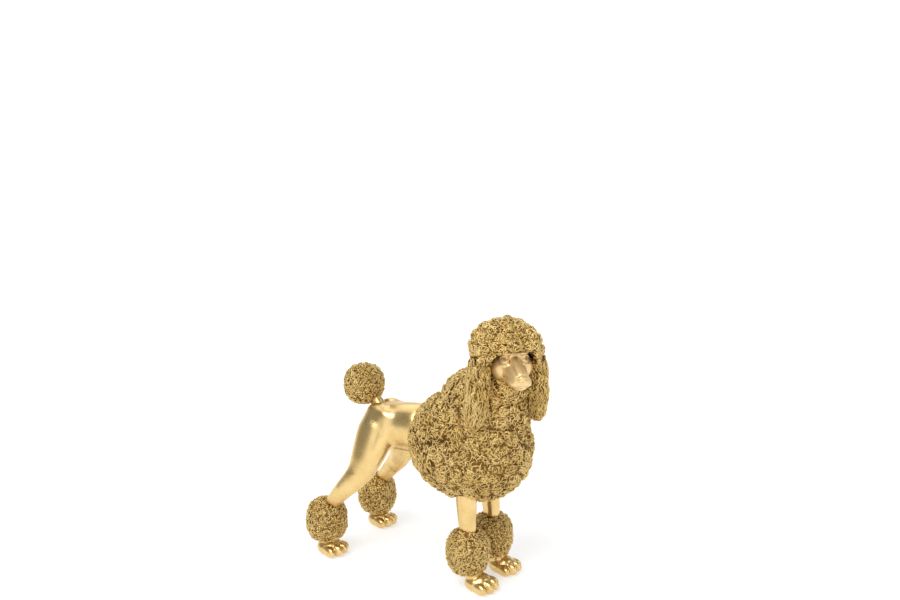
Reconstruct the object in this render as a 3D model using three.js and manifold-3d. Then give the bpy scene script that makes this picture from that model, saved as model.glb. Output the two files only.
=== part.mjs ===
// A standing poodle figurine in the show clip: smooth loins, face, legs and paws, with a curled mane,
// topknot, ears, leg cuffs and tail pompom. It is cast in sections that are bonded on pegs and sockets.
// Millimetres, +Z up. The dog looks along -Y, its own left is +X, and it stands on z = 0.
import * as THREE from "three";
import { ParametricGeometry } from "three/addons/geometries/ParametricGeometry.js";
import { mergeVertices } from "three/addons/utils/BufferGeometryUtils.js";
import Module from "manifold-3d";

// Fits and walls
const bondGap = 0.3; // glue line between two bonded sections
const torsoWall = 4;
const maneWall = 5;
const pegRadius = 4.5;
const pegLength = 9; // how far a peg reaches into its socket or hollow

// Stance
const frontStance = 22.6; // half the distance between the front feet
const rearStance = 43; // half the distance between the rear feet
const frontFootY = -53;
const rearFootY = 111;

// Feet
const padRadius = 7.5;
const padHeight = 1.6; // felt pad, partly sunk into the sole
const padProud = 0.6; // how far the pad stands below the sole
const pawWidth = 26;
const pawLength = 34;
const pawHeight = 16;
const frontPawReach = 15; // paw's middle ahead of the leg
const rearPawReach = 6;
const ankleRadius = 8;
const ankleTop = 21;

// Leg cuffs
const cuffRadius = 22.2;
const cuffHalfHeight = 21.5;
const cuffMiddle = 34.5; // height of the cuff's middle

// Torso
const backHeight = 166; // top of the back over the loins
const loinHalfWidth = 23;
const loinHalfHeight = 26;
const rumpEndY = 87;
const spigotEndY = 12; // open front end of the torso, inside the mane

// Mane and neck coat
const maneHalfWidth = 52;
const maneHalfLength = 67;
const maneHalfHeight = 56;
const maneMiddle = [0, -40.5, 137];
const neckHalfWidth = 31;
const neckTop = [0, -72, 219];

// Head
const headPlace = [2.3, -82.3, 228.5];
const headTurn = -45; // degrees, towards the dog's right
const skullHalfWidth = 20;
const skullHalfLength = 24;
const skullHalfHeight = 20;
const muzzleLength = 47; // from the skull's middle to the muzzle's end
const muzzleHalfWidth = 8.5;
const noseRadius = 4.6;
const eyeRadius = 4.2;
const topknotHalfWidth = 35.5;
const topknotHalfLength = 36;
const topknotHalfHeight = 30;
const topknotMiddle = [-2, 4, 9]; // in the head's frame
const earLength = 70;
const earHalfWidth = 10.5;
const earHalfDepth = 16;
const earSpread = 27; // an ear's root from the head's middle plane
const rightEarSwing = { forward: 22, outward: 10.5 }; // it lies over the neck coat
const leftEarSwing = { forward: 2, outward: 2 }; // it hangs free

// Tail
const tailRoot = [0, 74, 155];
const tailStemRadius = 6;
const tailPompomRadius = 22;
const tailPompomMiddle = [0, 92, 178];

// Vent in the mane's underside, closed by a stopper
const ventRadius = 6;
const ventPlace = [0, -40.5];

const wasm = await Module();
wasm.setup();
const Manifold = wasm.Manifold;

// A closed three.js geometry as a solid.
function solid(geometry) {
  const bare = geometry.clone();
  bare.deleteAttribute("normal");
  bare.deleteAttribute("uv");
  const merged = mergeVertices(bare, 1e-4);
  const corners = merged.index.array;
  const triangles = [];
  for (let i = 0; i < corners.length; i += 3) {
    const [a, b, c] = corners.slice(i, i + 3);
    if (a !== b && b !== c && c !== a) triangles.push(a, b, c);
  }
  return new Manifold(
    new wasm.Mesh({
      numProp: 3,
      vertProperties: merged.attributes.position.array,
      triVerts: new Uint32Array(triangles),
    }),
  );
}

// A solid's surface as a three.js geometry.
function surface(made) {
  const mesh = made.getMesh();
  const geometry = new THREE.BufferGeometry();
  const stride = mesh.numProp;
  const points = new Float32Array(mesh.numVert * 3);
  for (let i = 0; i < mesh.numVert; i++) {
    points.set(mesh.vertProperties.subarray(i * stride, i * stride + 3), i * 3);
  }
  geometry.setAttribute("position", new THREE.BufferAttribute(points, 3));
  geometry.setIndex(new THREE.BufferAttribute(mesh.triVerts, 1));
  return geometry;
}

// A solid carried by a matrix.
function carried(made, matrix) {
  return solid(surface(made).applyMatrix4(matrix));
}

// A ball scaled to three half-sizes, grown evenly, optionally turned about X, Y and Z in degrees.
function ball(middle, halves, { grow = 0, turn = [0, 0, 0], around = 24, rings = 14 } = {}) {
  const shape = new THREE.SphereGeometry(1, around, rings);
  shape.rotateX(Math.PI / 2);
  shape.scale(...halves.map((half) => half + grow));
  shape.rotateX(THREE.MathUtils.degToRad(turn[0]));
  shape.rotateY(THREE.MathUtils.degToRad(turn[1]));
  shape.rotateZ(THREE.MathUtils.degToRad(turn[2]));
  shape.translate(...middle);
  return solid(shape);
}

// An upright round pin between two heights.
function pin(x, y, low, high, radius, around = 16) {
  const shape = new THREE.CylinderGeometry(radius, radius, high - low, around);
  shape.rotateX(Math.PI / 2);
  shape.translate(x, y, (low + high) / 2);
  return solid(shape);
}

// A box between two corners.
function block(low, high) {
  const size = high.map((value, i) => value - low[i]);
  const shape = new THREE.BoxGeometry(...size);
  shape.translate(...low.map((value, i) => value + size[i] / 2));
  return solid(shape);
}

// A limb with oval sections and round ends. Each station is { at, wide, deep }: a point on the limb's
// middle line, the half-width towards X, and the half-depth square to X and to the line.
function limb(stations, { grow = 0, around = 20, rings = 16 } = {}) {
  const line = new THREE.CatmullRomCurve3(stations.map((s) => new THREE.Vector3(...s.at)));
  const sizes = new THREE.CatmullRomCurve3(
    stations.map((s) => new THREE.Vector3(s.wide, s.deep, 0)),
  );
  const length = line.getLength();
  const sideways = new THREE.Vector3(1, 0, 0);
  const shape = new ParametricGeometry(
    (u, v, target) => {
      const t = (1 - Math.cos(Math.PI * v)) / 2;
      const tangent = line.getTangent(t);
      const across = sideways.clone().addScaledVector(tangent, -tangent.x).normalize();
      const inward = new THREE.Vector3().crossVectors(tangent, across);
      const size = sizes.getPoint(t);
      const cap = Math.min(size.x, size.y);
      const fromEnd = Math.min(1, (Math.min(t, 1 - t) * length) / cap);
      const round = Math.sqrt(1 - (1 - fromEnd) ** 2);
      const angle = 2 * Math.PI * u;
      target.copy(line.getPoint(t));
      target.addScaledVector(across, (size.x + grow) * round * Math.cos(angle));
      target.addScaledVector(inward, (size.y + grow) * round * Math.sin(angle));
      target.addScaledVector(tangent, grow * (2 * t - 1));
    },
    around,
    rings,
  );
  return solid(shape);
}

// Materials
const satinGold = { color: 0xc9a25a, roughness: 0.35, metalness: 1 };
const curledGold = { color: 0xa8843c, roughness: 0.5, metalness: 1 };
const feltGrey = { color: 0x4a4742, roughness: 0.95, metalness: 0 };
const stopperGrey = { color: 0x8d8b86, roughness: 0.7, metalness: 0 };

const figurine = new THREE.Group();

// Adds a solid to a group as a named mesh.
function add(group, name, made, finish) {
  const mesh = new THREE.Mesh(surface(made), new THREE.MeshStandardMaterial(finish));
  mesh.name = name;
  group.add(mesh);
  return mesh;
}

// Adds the same leg piece on the dog's right and, mirrored, on its left.
function addPair(name, made, finish) {
  add(figurine, `right_${name}`, made, finish);
  add(figurine, `left_${name}`, made, finish).scale.x = -1;
}

// The torso: loins, croup and belly, with a spigot that enters the mane.
const backMiddle = backHeight - loinHalfHeight;
const torsoStations = [
  { at: [0, spigotEndY - 24, backMiddle + 3], wide: loinHalfWidth + 2, deep: loinHalfHeight + 2 },
  { at: [0, spigotEndY, backMiddle + 2], wide: loinHalfWidth + 1, deep: loinHalfHeight + 1 },
  { at: [0, 33, backMiddle + 1], wide: loinHalfWidth, deep: loinHalfHeight },
  { at: [0, 54, backMiddle - 1], wide: loinHalfWidth + 1, deep: loinHalfHeight - 2 },
  { at: [0, 72, backMiddle - 2], wide: loinHalfWidth - 3, deep: loinHalfHeight - 5 },
  { at: [0, rumpEndY, backMiddle - 3], wide: loinHalfWidth - 10, deep: loinHalfHeight - 12 },
];

function torsoBody(grow) {
  return limb(torsoStations, { grow, around: 22, rings: 14 });
}

// The right hind leg, from the hip to the hock, and on down inside the cuff to the paw.
const hindStations = [
  { at: [-13, 58, backHeight - 15], wide: 11, deep: 18 },
  { at: [-19, 62, 134], wide: 13.5, deep: 23 },
  { at: [-29, 65, 113], wide: 12.5, deep: 20 },
  { at: [-36, 71, 94], wide: 10, deep: 14.5 },
  { at: [-rearStance + 1, rearFootY - 25, 76], wide: 8, deep: 10.5 },
  { at: [-rearStance, rearFootY - 9, 57], wide: 7, deep: 8.5 },
  { at: [-rearStance, rearFootY, 39], wide: 7, deep: 8 },
  { at: [-rearStance, rearFootY, 12], wide: 7, deep: 7.5 },
];

function hindLegBody(grow) {
  return limb(hindStations, { grow, around: 16, rings: 18 });
}

// A peg that carries the thigh in the torso's flank.
const hipPegPlace = [57, 139];

function hipPeg(grow) {
  const inside = loinHalfWidth - pegLength;
  const outside = loinHalfWidth + 4;
  const shape = new THREE.CylinderGeometry(
    pegRadius + grow,
    pegRadius + grow,
    outside - inside + 2 * grow,
    16,
  );
  shape.rotateZ(Math.PI / 2);
  shape.translate(-(inside + outside) / 2, ...hipPegPlace);
  return solid(shape);
}

// The right front leg, from inside the mane down to the paw.
const frontPegTop = maneMiddle[2] - maneHalfHeight + maneWall + pegLength + 12;
const frontStations = [
  { at: [-frontStance + 1, frontFootY + 3, frontPegTop + 6], wide: 8.5, deep: 11 },
  { at: [-frontStance + 1, frontFootY + 2.5, 85], wide: 8.5, deep: 11 },
  { at: [-frontStance, frontFootY + 1, 67], wide: 7.6, deep: 9.6 },
  { at: [-frontStance, frontFootY, 49], wide: 7, deep: 8.6 },
  { at: [-frontStance, frontFootY, 12], wide: 7, deep: 8 },
];

function frontLegBody(grow) {
  return limb(frontStations, { grow, around: 14, rings: 12 });
}

// The ankle that carries a leg at x, y. It is cut level under the end of the leg.
function ankle(x, y, grow) {
  const middle = ankleTop / 2 + 2;
  return ball([x, y - 2, middle], [ankleRadius, ankleRadius + 1, middle - 1], {
    grow,
    around: 14,
    rings: 6,
  }).subtract(block([x - 30, y - 30, ankleTop + grow], [x + 30, y + 30, 2 * cuffMiddle]));
}

// A paw with four toes and an ankle. Its leg stands at x, y.
function pawBody(x, y, reach) {
  const middle = y - reach;
  const toeY = middle - pawLength / 2;
  const toe = (side, back, turn) =>
    ball(
      [x + (side * pawWidth) / 2, toeY + back, pawHeight * 0.36],
      [pawWidth * 0.165, pawLength * 0.24, pawHeight * 0.42],
      { turn: [0, 0, turn], around: 12, rings: 6 },
    );
  return ball([x, middle + 2, pawHeight * 0.42], [pawWidth / 2, pawLength * 0.46, pawHeight * 0.6], {
    around: 16,
    rings: 8,
  })
    .add(toe(-0.34, pawLength * 0.22, 3))
    .add(toe(0.34, pawLength * 0.22, -3))
    .add(toe(-0.74, pawLength * 0.33, 14))
    .add(toe(0.74, pawLength * 0.33, -14))
    .add(ankle(x, y, 0))
    .subtract(block([x - 30, y - 60, -30], [x + 30, y + 30, padProud]));
}

// Each foot: paw, felt pad and cuff around the end of a leg.
function addFoot(name, x, y, reach, legBody) {
  const leg = legBody(0);
  const grownLeg = legBody(bondGap);
  const ankleCut = block([x - 30, y - 30, -30], [x + 30, y + 30, ankleTop + bondGap]);
  const paw = pawBody(x, y, reach);
  const padSocket = pin(x, y - reach, -1, padHeight + bondGap, padRadius + bondGap);
  const cuff = ball([x, y, cuffMiddle], [cuffRadius, cuffRadius, cuffHalfHeight], {
    around: 18,
    rings: 8,
  });
  const pawHole = ball(
    [x, y - reach + 2, pawHeight * 0.42],
    [pawWidth / 2, pawLength * 0.46, pawHeight * 0.6],
    { grow: bondGap, around: 16, rings: 8 },
  ).add(ankle(x, y, bondGap));
  addPair(`${name}_paw`, paw.subtract(padSocket), satinGold);
  addPair(`${name}_foot_pad`, pin(x, y - reach, 0, padHeight, padRadius), feltGrey);
  addPair(`${name}_cuff`, cuff.subtract(grownLeg).subtract(pawHole), curledGold);
  return leg.subtract(ankleCut);
}

const frontLeg = addFoot("front", -frontStance, frontFootY, frontPawReach, frontLegBody);
const hindLeg = addFoot("hind", -rearStance, rearFootY, rearPawReach, hindLegBody);
addPair("front_leg", frontLeg, satinGold);
addPair("hind_leg", hindLeg.subtract(torsoBody(bondGap)).add(hipPeg(0)), satinGold);

// The torso is a hollow casting, open at its front end.
const mirrorX = new THREE.Matrix4().makeScale(-1, 1, 1);

// Both a right-hand solid and its mirror image on the left.
function bothSides(made) {
  const shape = surface(made).applyMatrix4(mirrorX);
  const turned = shape.index.array;
  for (let i = 0; i < turned.length; i += 3) {
    [turned[i + 1], turned[i + 2]] = [turned[i + 2], turned[i + 1]];
  }
  return made.add(solid(shape));
}

// The tail: a bare stem on a peg in the croup, and the pompom on its end.
const tailAxis = new THREE.Vector3(...tailPompomMiddle).sub(new THREE.Vector3(...tailRoot));
const tailFoot = new THREE.Vector3(...tailRoot).addScaledVector(tailAxis.clone().normalize(), -pegLength);

function tailStemBody(grow) {
  return limb(
    [
      { at: tailFoot.toArray(), wide: tailStemRadius, deep: tailStemRadius },
      { at: tailRoot, wide: tailStemRadius + 1, deep: tailStemRadius + 1 },
      { at: tailPompomMiddle, wide: tailStemRadius - 1, deep: tailStemRadius - 1 },
    ],
    { grow, around: 14, rings: 10 },
  );
}

add(
  figurine,
  "torso",
  torsoBody(0)
    .subtract(torsoBody(-torsoWall))
    .subtract(block([-99, -99, 0], [99, spigotEndY, 2 * backHeight]))
    .subtract(bothSides(hipPeg(bondGap)))
    .subtract(tailStemBody(bondGap)),
  satinGold,
);
add(figurine, "tail_stem", tailStemBody(0), satinGold);
add(
  figurine,
  "tail_pompom",
  ball(tailPompomMiddle, [tailPompomRadius, tailPompomRadius, tailPompomRadius], {
    around: 20,
    rings: 10,
  })
    .subtract(tailStemBody(bondGap))
    .subtract(torsoBody(bondGap)),
  curledGold,
);

// The head's frame, turned about Z on the neck.
const head = new THREE.Group();
head.position.set(...headPlace);
head.rotation.z = THREE.MathUtils.degToRad(headTurn);
head.updateMatrixWorld(true);
const toWorld = head.matrixWorld.clone();
const toHead = toWorld.clone().invert();
figurine.add(head);

// The skull with its muzzle and cheeks, and a spigot that enters the neck.
const muzzleDrop = 11.5;
const spigotRadius = neckHalfWidth - maneWall - 8;

function muzzleBody(grow) {
  return limb(
    [
      { at: [0, -2, -2], wide: skullHalfWidth - 5, deep: skullHalfHeight - 6 },
      { at: [0, -18, -4], wide: 13, deep: 12.5 },
      { at: [0, -32, -8], wide: muzzleHalfWidth + 1, deep: 9.5 },
      { at: [0, -muzzleLength, -muzzleDrop], wide: muzzleHalfWidth, deep: 7.5 },
    ],
    { grow, around: 16, rings: 12 },
  );
}

function skullBody(grow) {
  return ball([0, 0, 0], [skullHalfWidth, skullHalfLength, skullHalfHeight], {
    grow,
    around: 20,
    rings: 10,
  })
    .add(muzzleBody(grow))
    .add(pin(0, 4, -skullHalfHeight - pegLength - grow, 0, spigotRadius + grow));
}

const nosePlace = [0, -muzzleLength + 1, -muzzleDrop + 3.6];
const eyePlace = [-10.8, -18.6, 2.4];

function noseBody(grow) {
  return ball(nosePlace, [noseRadius + 0.8, noseRadius, noseRadius - 0.6], {
    grow,
    around: 14,
    rings: 8,
  });
}

function eyeBody(grow) {
  return ball(eyePlace, [eyeRadius, eyeRadius, eyeRadius], { grow, around: 14, rings: 8 });
}

add(
  head,
  "head",
  skullBody(0).subtract(noseBody(bondGap)).subtract(bothSides(eyeBody(bondGap))),
  satinGold,
);
add(head, "nose", noseBody(0), satinGold);
add(head, "right_eye", eyeBody(0), satinGold);
add(head, "left_eye", eyeBody(0), satinGold).scale.x = -1;

// The mane with its neck coat: a hollow shell with sockets for torso, legs and head.
function maneBody(grow) {
  const [x, y, z] = maneMiddle;
  return ball(maneMiddle, [maneHalfWidth, maneHalfLength, maneHalfHeight], {
    grow,
    around: 24,
    rings: 14,
  }).add(
    limb(
      [
        { at: [x, y + 2, z + 6], wide: maneHalfWidth - 7, deep: maneHalfLength - 17 },
        { at: [x + 5, y - 16, z + 43], wide: maneHalfWidth - 10, deep: maneHalfLength - 20 },
        { at: neckTop, wide: neckHalfWidth, deep: neckHalfWidth },
      ],
      { grow, around: 20, rings: 10 },
    ),
  );
}

// The ears hang from the sides of the head, over the neck coat.
const earTop = 5;

function earBody(side, swing, grow) {
  const station = (share, wide, deep) => ({
    at: [
      side * (earSpread + swing.outward * share),
      4 - swing.forward * share,
      earTop - earLength * share,
    ],
    wide,
    deep,
  });
  return limb(
    [
      station(0, earHalfWidth, earHalfDepth - 3),
      station(0.3, earHalfWidth, earHalfDepth - 1),
      station(0.65, earHalfWidth, earHalfDepth),
      station(1, earHalfWidth - 2, earHalfDepth - 3),
    ],
    { grow, around: 14, rings: 12 },
  );
}

// The topknot caps the skull and leaves the face free.
const faceOpening = ball([0, -40, -14], [27, 36, 24], { around: 22, rings: 12 });
const grownMane = carried(maneBody(bondGap), toHead);
const grownSkull = skullBody(bondGap);
add(
  head,
  "topknot",
  ball(topknotMiddle, [topknotHalfWidth, topknotHalfLength, topknotHalfHeight], {
    around: 22,
    rings: 12,
  })
    .subtract(grownSkull)
    .subtract(bothSides(eyeBody(bondGap)))
    .subtract(faceOpening)
    .subtract(grownMane)
    .subtract(earBody(-1, rightEarSwing, bondGap))
    .subtract(earBody(1, leftEarSwing, bondGap)),
  curledGold,
);

function addEar(name, side, swing) {
  const ear = earBody(side, swing, 0).subtract(grownSkull).subtract(grownMane);
  add(head, name, ear, curledGold);
}

addEar("right_ear", -1, rightEarSwing);
addEar("left_ear", 1, leftEarSwing);

const ventLow = maneMiddle[2] - maneHalfHeight - 0.5;
const frontLegs = bothSides(frontLegBody(bondGap));
add(
  figurine,
  "mane",
  maneBody(0)
    .subtract(maneBody(-maneWall))
    .subtract(torsoBody(bondGap))
    .subtract(frontLegs)
    .subtract(carried(grownSkull, toWorld))
    .subtract(pin(...ventPlace, ventLow - 9, maneMiddle[2], ventRadius + bondGap)),
  curledGold,
);
add(
  figurine,
  "vent_stopper",
  pin(...ventPlace, ventLow, ventLow + 14, ventRadius),
  stopperGrey,
);

// The origin lies on the floor under the middle of the whole figurine.
figurine.updateMatrixWorld(true);
const extent = new THREE.Box3().setFromObject(figurine, true);
const middle = extent.getCenter(new THREE.Vector3());
figurine.position.set(-middle.x, -middle.y, -extent.min.z);

export default figurine;
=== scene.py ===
"""A standing poodle figurine in gold lacquer: smooth castings under a coat of sculpted curls.

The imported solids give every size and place. This script models the surfaces over them: the smooth
loins, legs, paws and face as blended castings, and the coat as strands laid over a lumpy ground.
"""

import contextlib
import functools
import itertools
import logging
import math
from dataclasses import dataclass, field
from enum import Enum
from typing import Iterable, Iterator, Sequence

import bmesh
import bpy
import numpy as np
from mathutils import Matrix, Vector
from mathutils.bvhtree import BVHTree
from mathutils.kdtree import KDTree


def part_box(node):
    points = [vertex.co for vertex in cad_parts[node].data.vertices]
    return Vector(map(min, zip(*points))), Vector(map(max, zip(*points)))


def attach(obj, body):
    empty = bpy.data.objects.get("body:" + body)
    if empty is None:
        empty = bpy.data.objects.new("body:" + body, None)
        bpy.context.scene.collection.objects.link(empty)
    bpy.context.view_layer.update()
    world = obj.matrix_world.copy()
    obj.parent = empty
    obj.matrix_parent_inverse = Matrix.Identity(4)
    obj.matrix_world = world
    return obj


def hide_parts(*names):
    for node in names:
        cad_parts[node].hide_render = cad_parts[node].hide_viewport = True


MM = 0.001
LOG = logging.getLogger("poodle")

Span = tuple[float, float]
Triple = tuple[float, float, float]
Link = tuple[Triple, Triple]  # an ellipsoid's middle and half-sizes, in millimetres
Shape = bmesh.types.BMesh
Mesh = bpy.types.Mesh
Piece = bpy.types.Object
Material = bpy.types.Material
Node = bpy.types.Node
Tree = bpy.types.NodeTree
Socket = bpy.types.NodeSocket

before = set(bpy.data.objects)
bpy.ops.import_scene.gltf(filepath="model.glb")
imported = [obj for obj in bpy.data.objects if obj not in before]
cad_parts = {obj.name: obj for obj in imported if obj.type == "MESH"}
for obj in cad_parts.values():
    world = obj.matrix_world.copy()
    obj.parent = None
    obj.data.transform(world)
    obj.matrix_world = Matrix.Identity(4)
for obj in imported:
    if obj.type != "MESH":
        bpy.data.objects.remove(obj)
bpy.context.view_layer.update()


# Finishes


def put(tree: Tree, kind: str, **settings: object) -> Node:
    """Adds a shader node.

    Args:
        tree: The node tree that gets it.
        kind: The node's type name, without its ShaderNode prefix.
        settings: As for tune.

    Returns:
        The new node.
    """
    return tune(tree.nodes.new(f"ShaderNode{kind}"), **settings)


def tune(node: Node, **settings: object) -> Node:
    """Sets a shader node's values.

    Args:
        node: The node.
        settings: Values for its properties, or for its inputs by name, with _ for a space.

    Returns:
        The same node.
    """
    for name, value in settings.items():
        if hasattr(node, name):
            setattr(node, name, value)
        else:
            node.inputs[name.replace("_", " ")].default_value = value
    return node


@dataclass(frozen=True)
class Tone:
    """A colour in linear light."""

    red: float
    green: float
    blue: float

    def rgba(self) -> tuple[float, float, float, float]:
        """The colour with full alpha."""
        return (self.red, self.green, self.blue, 1.0)


def new_material(name: str) -> tuple[Material, Tree, Node]:
    """Makes a material.

    Args:
        name: Its name.

    Returns:
        The material, its node tree and its shader.
    """
    made = bpy.data.materials.new(name)
    made.use_nodes = True
    return made, made.node_tree, made.node_tree.nodes["Principled BSDF"]


def pattern(tree: Tree, **settings: float) -> Socket:
    """Adds a noise that stays fixed to the object.

    Args:
        tree: The material's node tree.
        settings: The noise's inputs.

    Returns:
        Its value.
    """
    made = put(tree, "TexNoise", **settings)
    tree.links.new(put(tree, "TexCoord").outputs["Object"], made.inputs["Vector"])
    return made.outputs["Fac"]


def blended(tree: Tree, value: Socket, edges: Span, tones: tuple[Tone, Tone]) -> Socket:
    """Adds a blend from one tone to another as a value rises from edge to edge."""
    made = put(tree, "ValToRGB")
    for stop, edge, tone in zip(made.color_ramp.elements, edges, tones):
        stop.position = edge
        stop.color = tone.rgba()
    tree.links.new(value, made.inputs["Fac"])
    return made.outputs["Color"]


def mapped(
    tree: Tree, value: Socket, edges: Span, ends: Span = (0.0, 1.0), kind: str = "LINEAR"
) -> Socket:
    """Adds a step from one value to another.

    Args:
        tree: The node tree.
        value: The value that drives the step.
        edges: Where the step starts and ends.
        ends: The result before and after it.
        kind: How it runs in between.

    Returns:
        The result.
    """
    made = put(tree, "MapRange", interpolation_type=kind)
    tune(made, From_Min=edges[0], From_Max=edges[1], To_Min=ends[0], To_Max=ends[1])
    tree.links.new(value, made.inputs["Value"])
    return made.outputs["Result"]


def emboss(tree: Tree, shader: Node, value: Socket, relief: float) -> None:
    """Raises a shader's surface by a value times the relief, in metres."""
    bump = put(tree, "Bump", Distance=relief)
    tree.links.new(value, bump.inputs["Height"])
    tree.links.new(bump.outputs["Normal"], shader.inputs["Normal"])


@dataclass(frozen=True)
class GoldLacquer:
    """Gold lacquer on a casting, with a brown patina in its hollows that also serves as painted
    shade there.
    """

    name: str
    bright: Tone
    worn: Tone
    # the brown of the hollows: patina, and painted shade
    patina_and_shade: Tone
    roughness: float
    roughness_spread: float
    grain: float  # size of the fine ripples, in metres
    relief: float  # height of the fine ripples, in metres
    patina_and_shade_edges: Span = (0.0, 0.4)  # depth values at which the patina and painted shade are full, and at which they end
    patina_and_shade_raggedness: float = 0.35  # how far the ripples shift the edge of the patina and painted shade, in depth values
    metal: float = 1.0  # share of the lacquer that is metal flake
    patch_scale: float = 55.0  # worn patches to the metre
    patch_edges: Span = (0.32, 0.62)  # pattern values at which wear ends and bright gold starts
    ripple_edges: Span = (0.25, 0.75)  # pattern values of the glossiest and the dullest ripples

    def material(self) -> Material:
        """Builds the lacquer.

        Returns:
            A metallic material that reads the depth attribute of a piece for its brown patina and
            painted shade.
        """
        made, tree, shader = new_material(self.name)
        tune(shader, Metallic=self.metal)
        patches = pattern(tree, Scale=self.patch_scale, Detail=4.0, Roughness=0.6)
        fine = pattern(tree, Scale=1.0 / self.grain, Detail=5.0, Roughness=0.65)
        gold = blended(tree, patches, self.patch_edges, (self.worn, self.bright))

        # Brown patina and painted shade in the hollows, driven by the depth attribute.
        ragged = put(tree, "Math", operation="MULTIPLY_ADD")
        ragged.inputs[1].default_value = self.patina_and_shade_raggedness
        ragged.inputs[2].default_value = -self.patina_and_shade_raggedness / 2
        tree.links.new(fine, ragged.inputs[0])
        level = put(tree, "Math", operation="ADD")
        depth = put(tree, "Attribute", attribute_name="depth")
        tree.links.new(depth.outputs["Fac"], level.inputs[0])
        tree.links.new(ragged.outputs[0], level.inputs[1])
        coat = put(tree, "Mix", data_type="RGBA")
        factor, patina_and_shade_input, clean = coat.inputs[0], coat.inputs[6], coat.inputs[7]
        patina_and_shade_input.default_value = self.patina_and_shade.rgba()
        tree.links.new(mapped(tree, level.outputs[0], self.patina_and_shade_edges, kind="SMOOTHSTEP"), factor)
        tree.links.new(gold, clean)
        tree.links.new(coat.outputs[2], shader.inputs["Base Color"])

        ends = (self.roughness - self.roughness_spread, self.roughness + self.roughness_spread)
        tree.links.new(mapped(tree, fine, self.ripple_edges, ends), shader.inputs["Roughness"])
        emboss(tree, shader, fine, self.relief)
        return made


@dataclass(frozen=True)
class Felt:
    """Pressed grey felt, flecked with lighter fibres."""

    name: str = "pressed_felt"
    dark: Tone = Tone(0.045, 0.042, 0.038)
    light: Tone = Tone(0.16, 0.15, 0.135)
    fleck_edges: Span = (0.35, 0.7)  # pattern values at which dark ends and light starts
    fibre_scale: float = 2600.0  # fibres to the metre
    nap: float = 0.15 * MM
    roughness: float = 0.95
    sheen: float = 0.4

    def material(self) -> Material:
        """Builds the felt."""
        made, tree, shader = new_material(self.name)
        tune(shader, Roughness=self.roughness, Sheen_Weight=self.sheen)
        fibres = pattern(tree, Scale=self.fibre_scale, Detail=6.0, Roughness=0.8, Distortion=2.5)
        tint = blended(tree, fibres, self.fleck_edges, (self.dark, self.light))
        tree.links.new(tint, shader.inputs["Base Color"])
        emboss(tree, shader, fibres, self.nap)
        return made


@dataclass(frozen=True)
class MouldedRubber:
    """Matt moulded rubber with a fine grain."""

    name: str = "moulded_rubber"
    tone: Tone = Tone(0.27, 0.26, 0.24)
    grain_scale: float = 1500.0  # grains to the metre
    relief: float = 0.05 * MM
    roughness: Span = (0.55, 0.85)  # between and on the grains

    def material(self) -> Material:
        """Builds the rubber."""
        made, tree, shader = new_material(self.name)
        tune(shader, Base_Color=self.tone.rgba())
        grain = pattern(tree, Scale=self.grain_scale, Detail=3.0)
        dull = mapped(tree, grain, (0.0, 1.0), self.roughness)
        tree.links.new(dull, shader.inputs["Roughness"])
        emboss(tree, shader, grain, self.relief)
        return made


SMOOTH_GOLD = GoldLacquer(
    name="smooth_gold_lacquer",
    bright=Tone(0.82, 0.60, 0.27),
    worn=Tone(0.72, 0.50, 0.20),
    patina_and_shade=Tone(0.20, 0.10, 0.03),
    roughness=0.29,
    roughness_spread=0.06,
    grain=1.6 * MM,
    relief=0.018 * MM,
)
# The face's gold is rougher and less metal than the smooth gold, and lighter in tone: the lighter
# tone is painted light on the face.
LIGHTENED_FACE_GOLD = GoldLacquer(
    name="face_gold_with_painted_light",
    bright=Tone(0.86, 0.64, 0.32),
    worn=Tone(0.78, 0.55, 0.25),
    patina_and_shade=Tone(0.24, 0.11, 0.035),
    roughness=0.40,
    roughness_spread=0.06,
    grain=1.6 * MM,
    relief=0.018 * MM,
    metal=0.72,
)
CURLED_GOLD = GoldLacquer(
    name="curled_gold_lacquer",
    bright=Tone(0.86, 0.65, 0.28),
    worn=Tone(0.70, 0.49, 0.17),
    patina_and_shade=Tone(0.165, 0.085, 0.02),
    roughness=0.33,
    roughness_spread=0.08,
    grain=0.8 * MM,
    relief=0.03 * MM,
)


# Shared modelling steps


def corners(node: str, unit: float = 1.0) -> tuple[Vector, Vector]:
    """The lowest and the highest corner of a node's box, in a unit given in metres."""
    low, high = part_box(node)
    return Vector(low) / unit, Vector(high) / unit


def box_middle(node: str) -> Vector:
    """The middle of a node's box, in metres."""
    low, high = corners(node)
    return (low + high) / 2


def placed(name: str, data: bpy.types.ID) -> Piece:
    """Adds an object with some data to the scene."""
    made = bpy.data.objects.new(name, data)
    bpy.context.scene.collection.objects.link(made)
    return made


def baked(holder: Piece, name: str) -> Mesh:
    """Takes an object out of the scene and keeps what it shows as a mesh."""
    graph = bpy.context.evaluated_depsgraph_get()
    mesh = bpy.data.meshes.new_from_object(holder.evaluated_get(graph))
    mesh.name = name
    bpy.data.objects.remove(holder)
    return mesh


@contextlib.contextmanager
def editing(mesh: Mesh) -> Iterator[Shape]:
    """Opens a mesh as a bmesh, and writes it back at the end."""
    shape = bmesh.new()
    shape.from_mesh(mesh)
    yield shape
    shape.to_mesh(mesh)
    shape.free()


def solid_copy(nodes: Sequence[str]) -> Shape:
    """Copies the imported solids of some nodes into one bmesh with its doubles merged.

    Args:
        nodes: The nodes' names.

    Returns:
        The new bmesh, in metres.
    """
    shape = bmesh.new()
    for name in nodes:
        shape.from_mesh(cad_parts[name].data)
    bmesh.ops.remove_doubles(shape, verts=shape.verts, dist=0.005 * MM)
    return shape


@functools.lru_cache(maxsize=1)
def unit_ball() -> Mesh:
    """A ball of radius 1, kept for reuse."""
    shape = bmesh.new()
    bmesh.ops.create_uvsphere(shape, u_segments=20, v_segments=12, radius=1.0)
    ball = bpy.data.meshes.new("unit_ball")
    shape.to_mesh(ball)
    shape.free()
    return ball


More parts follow.
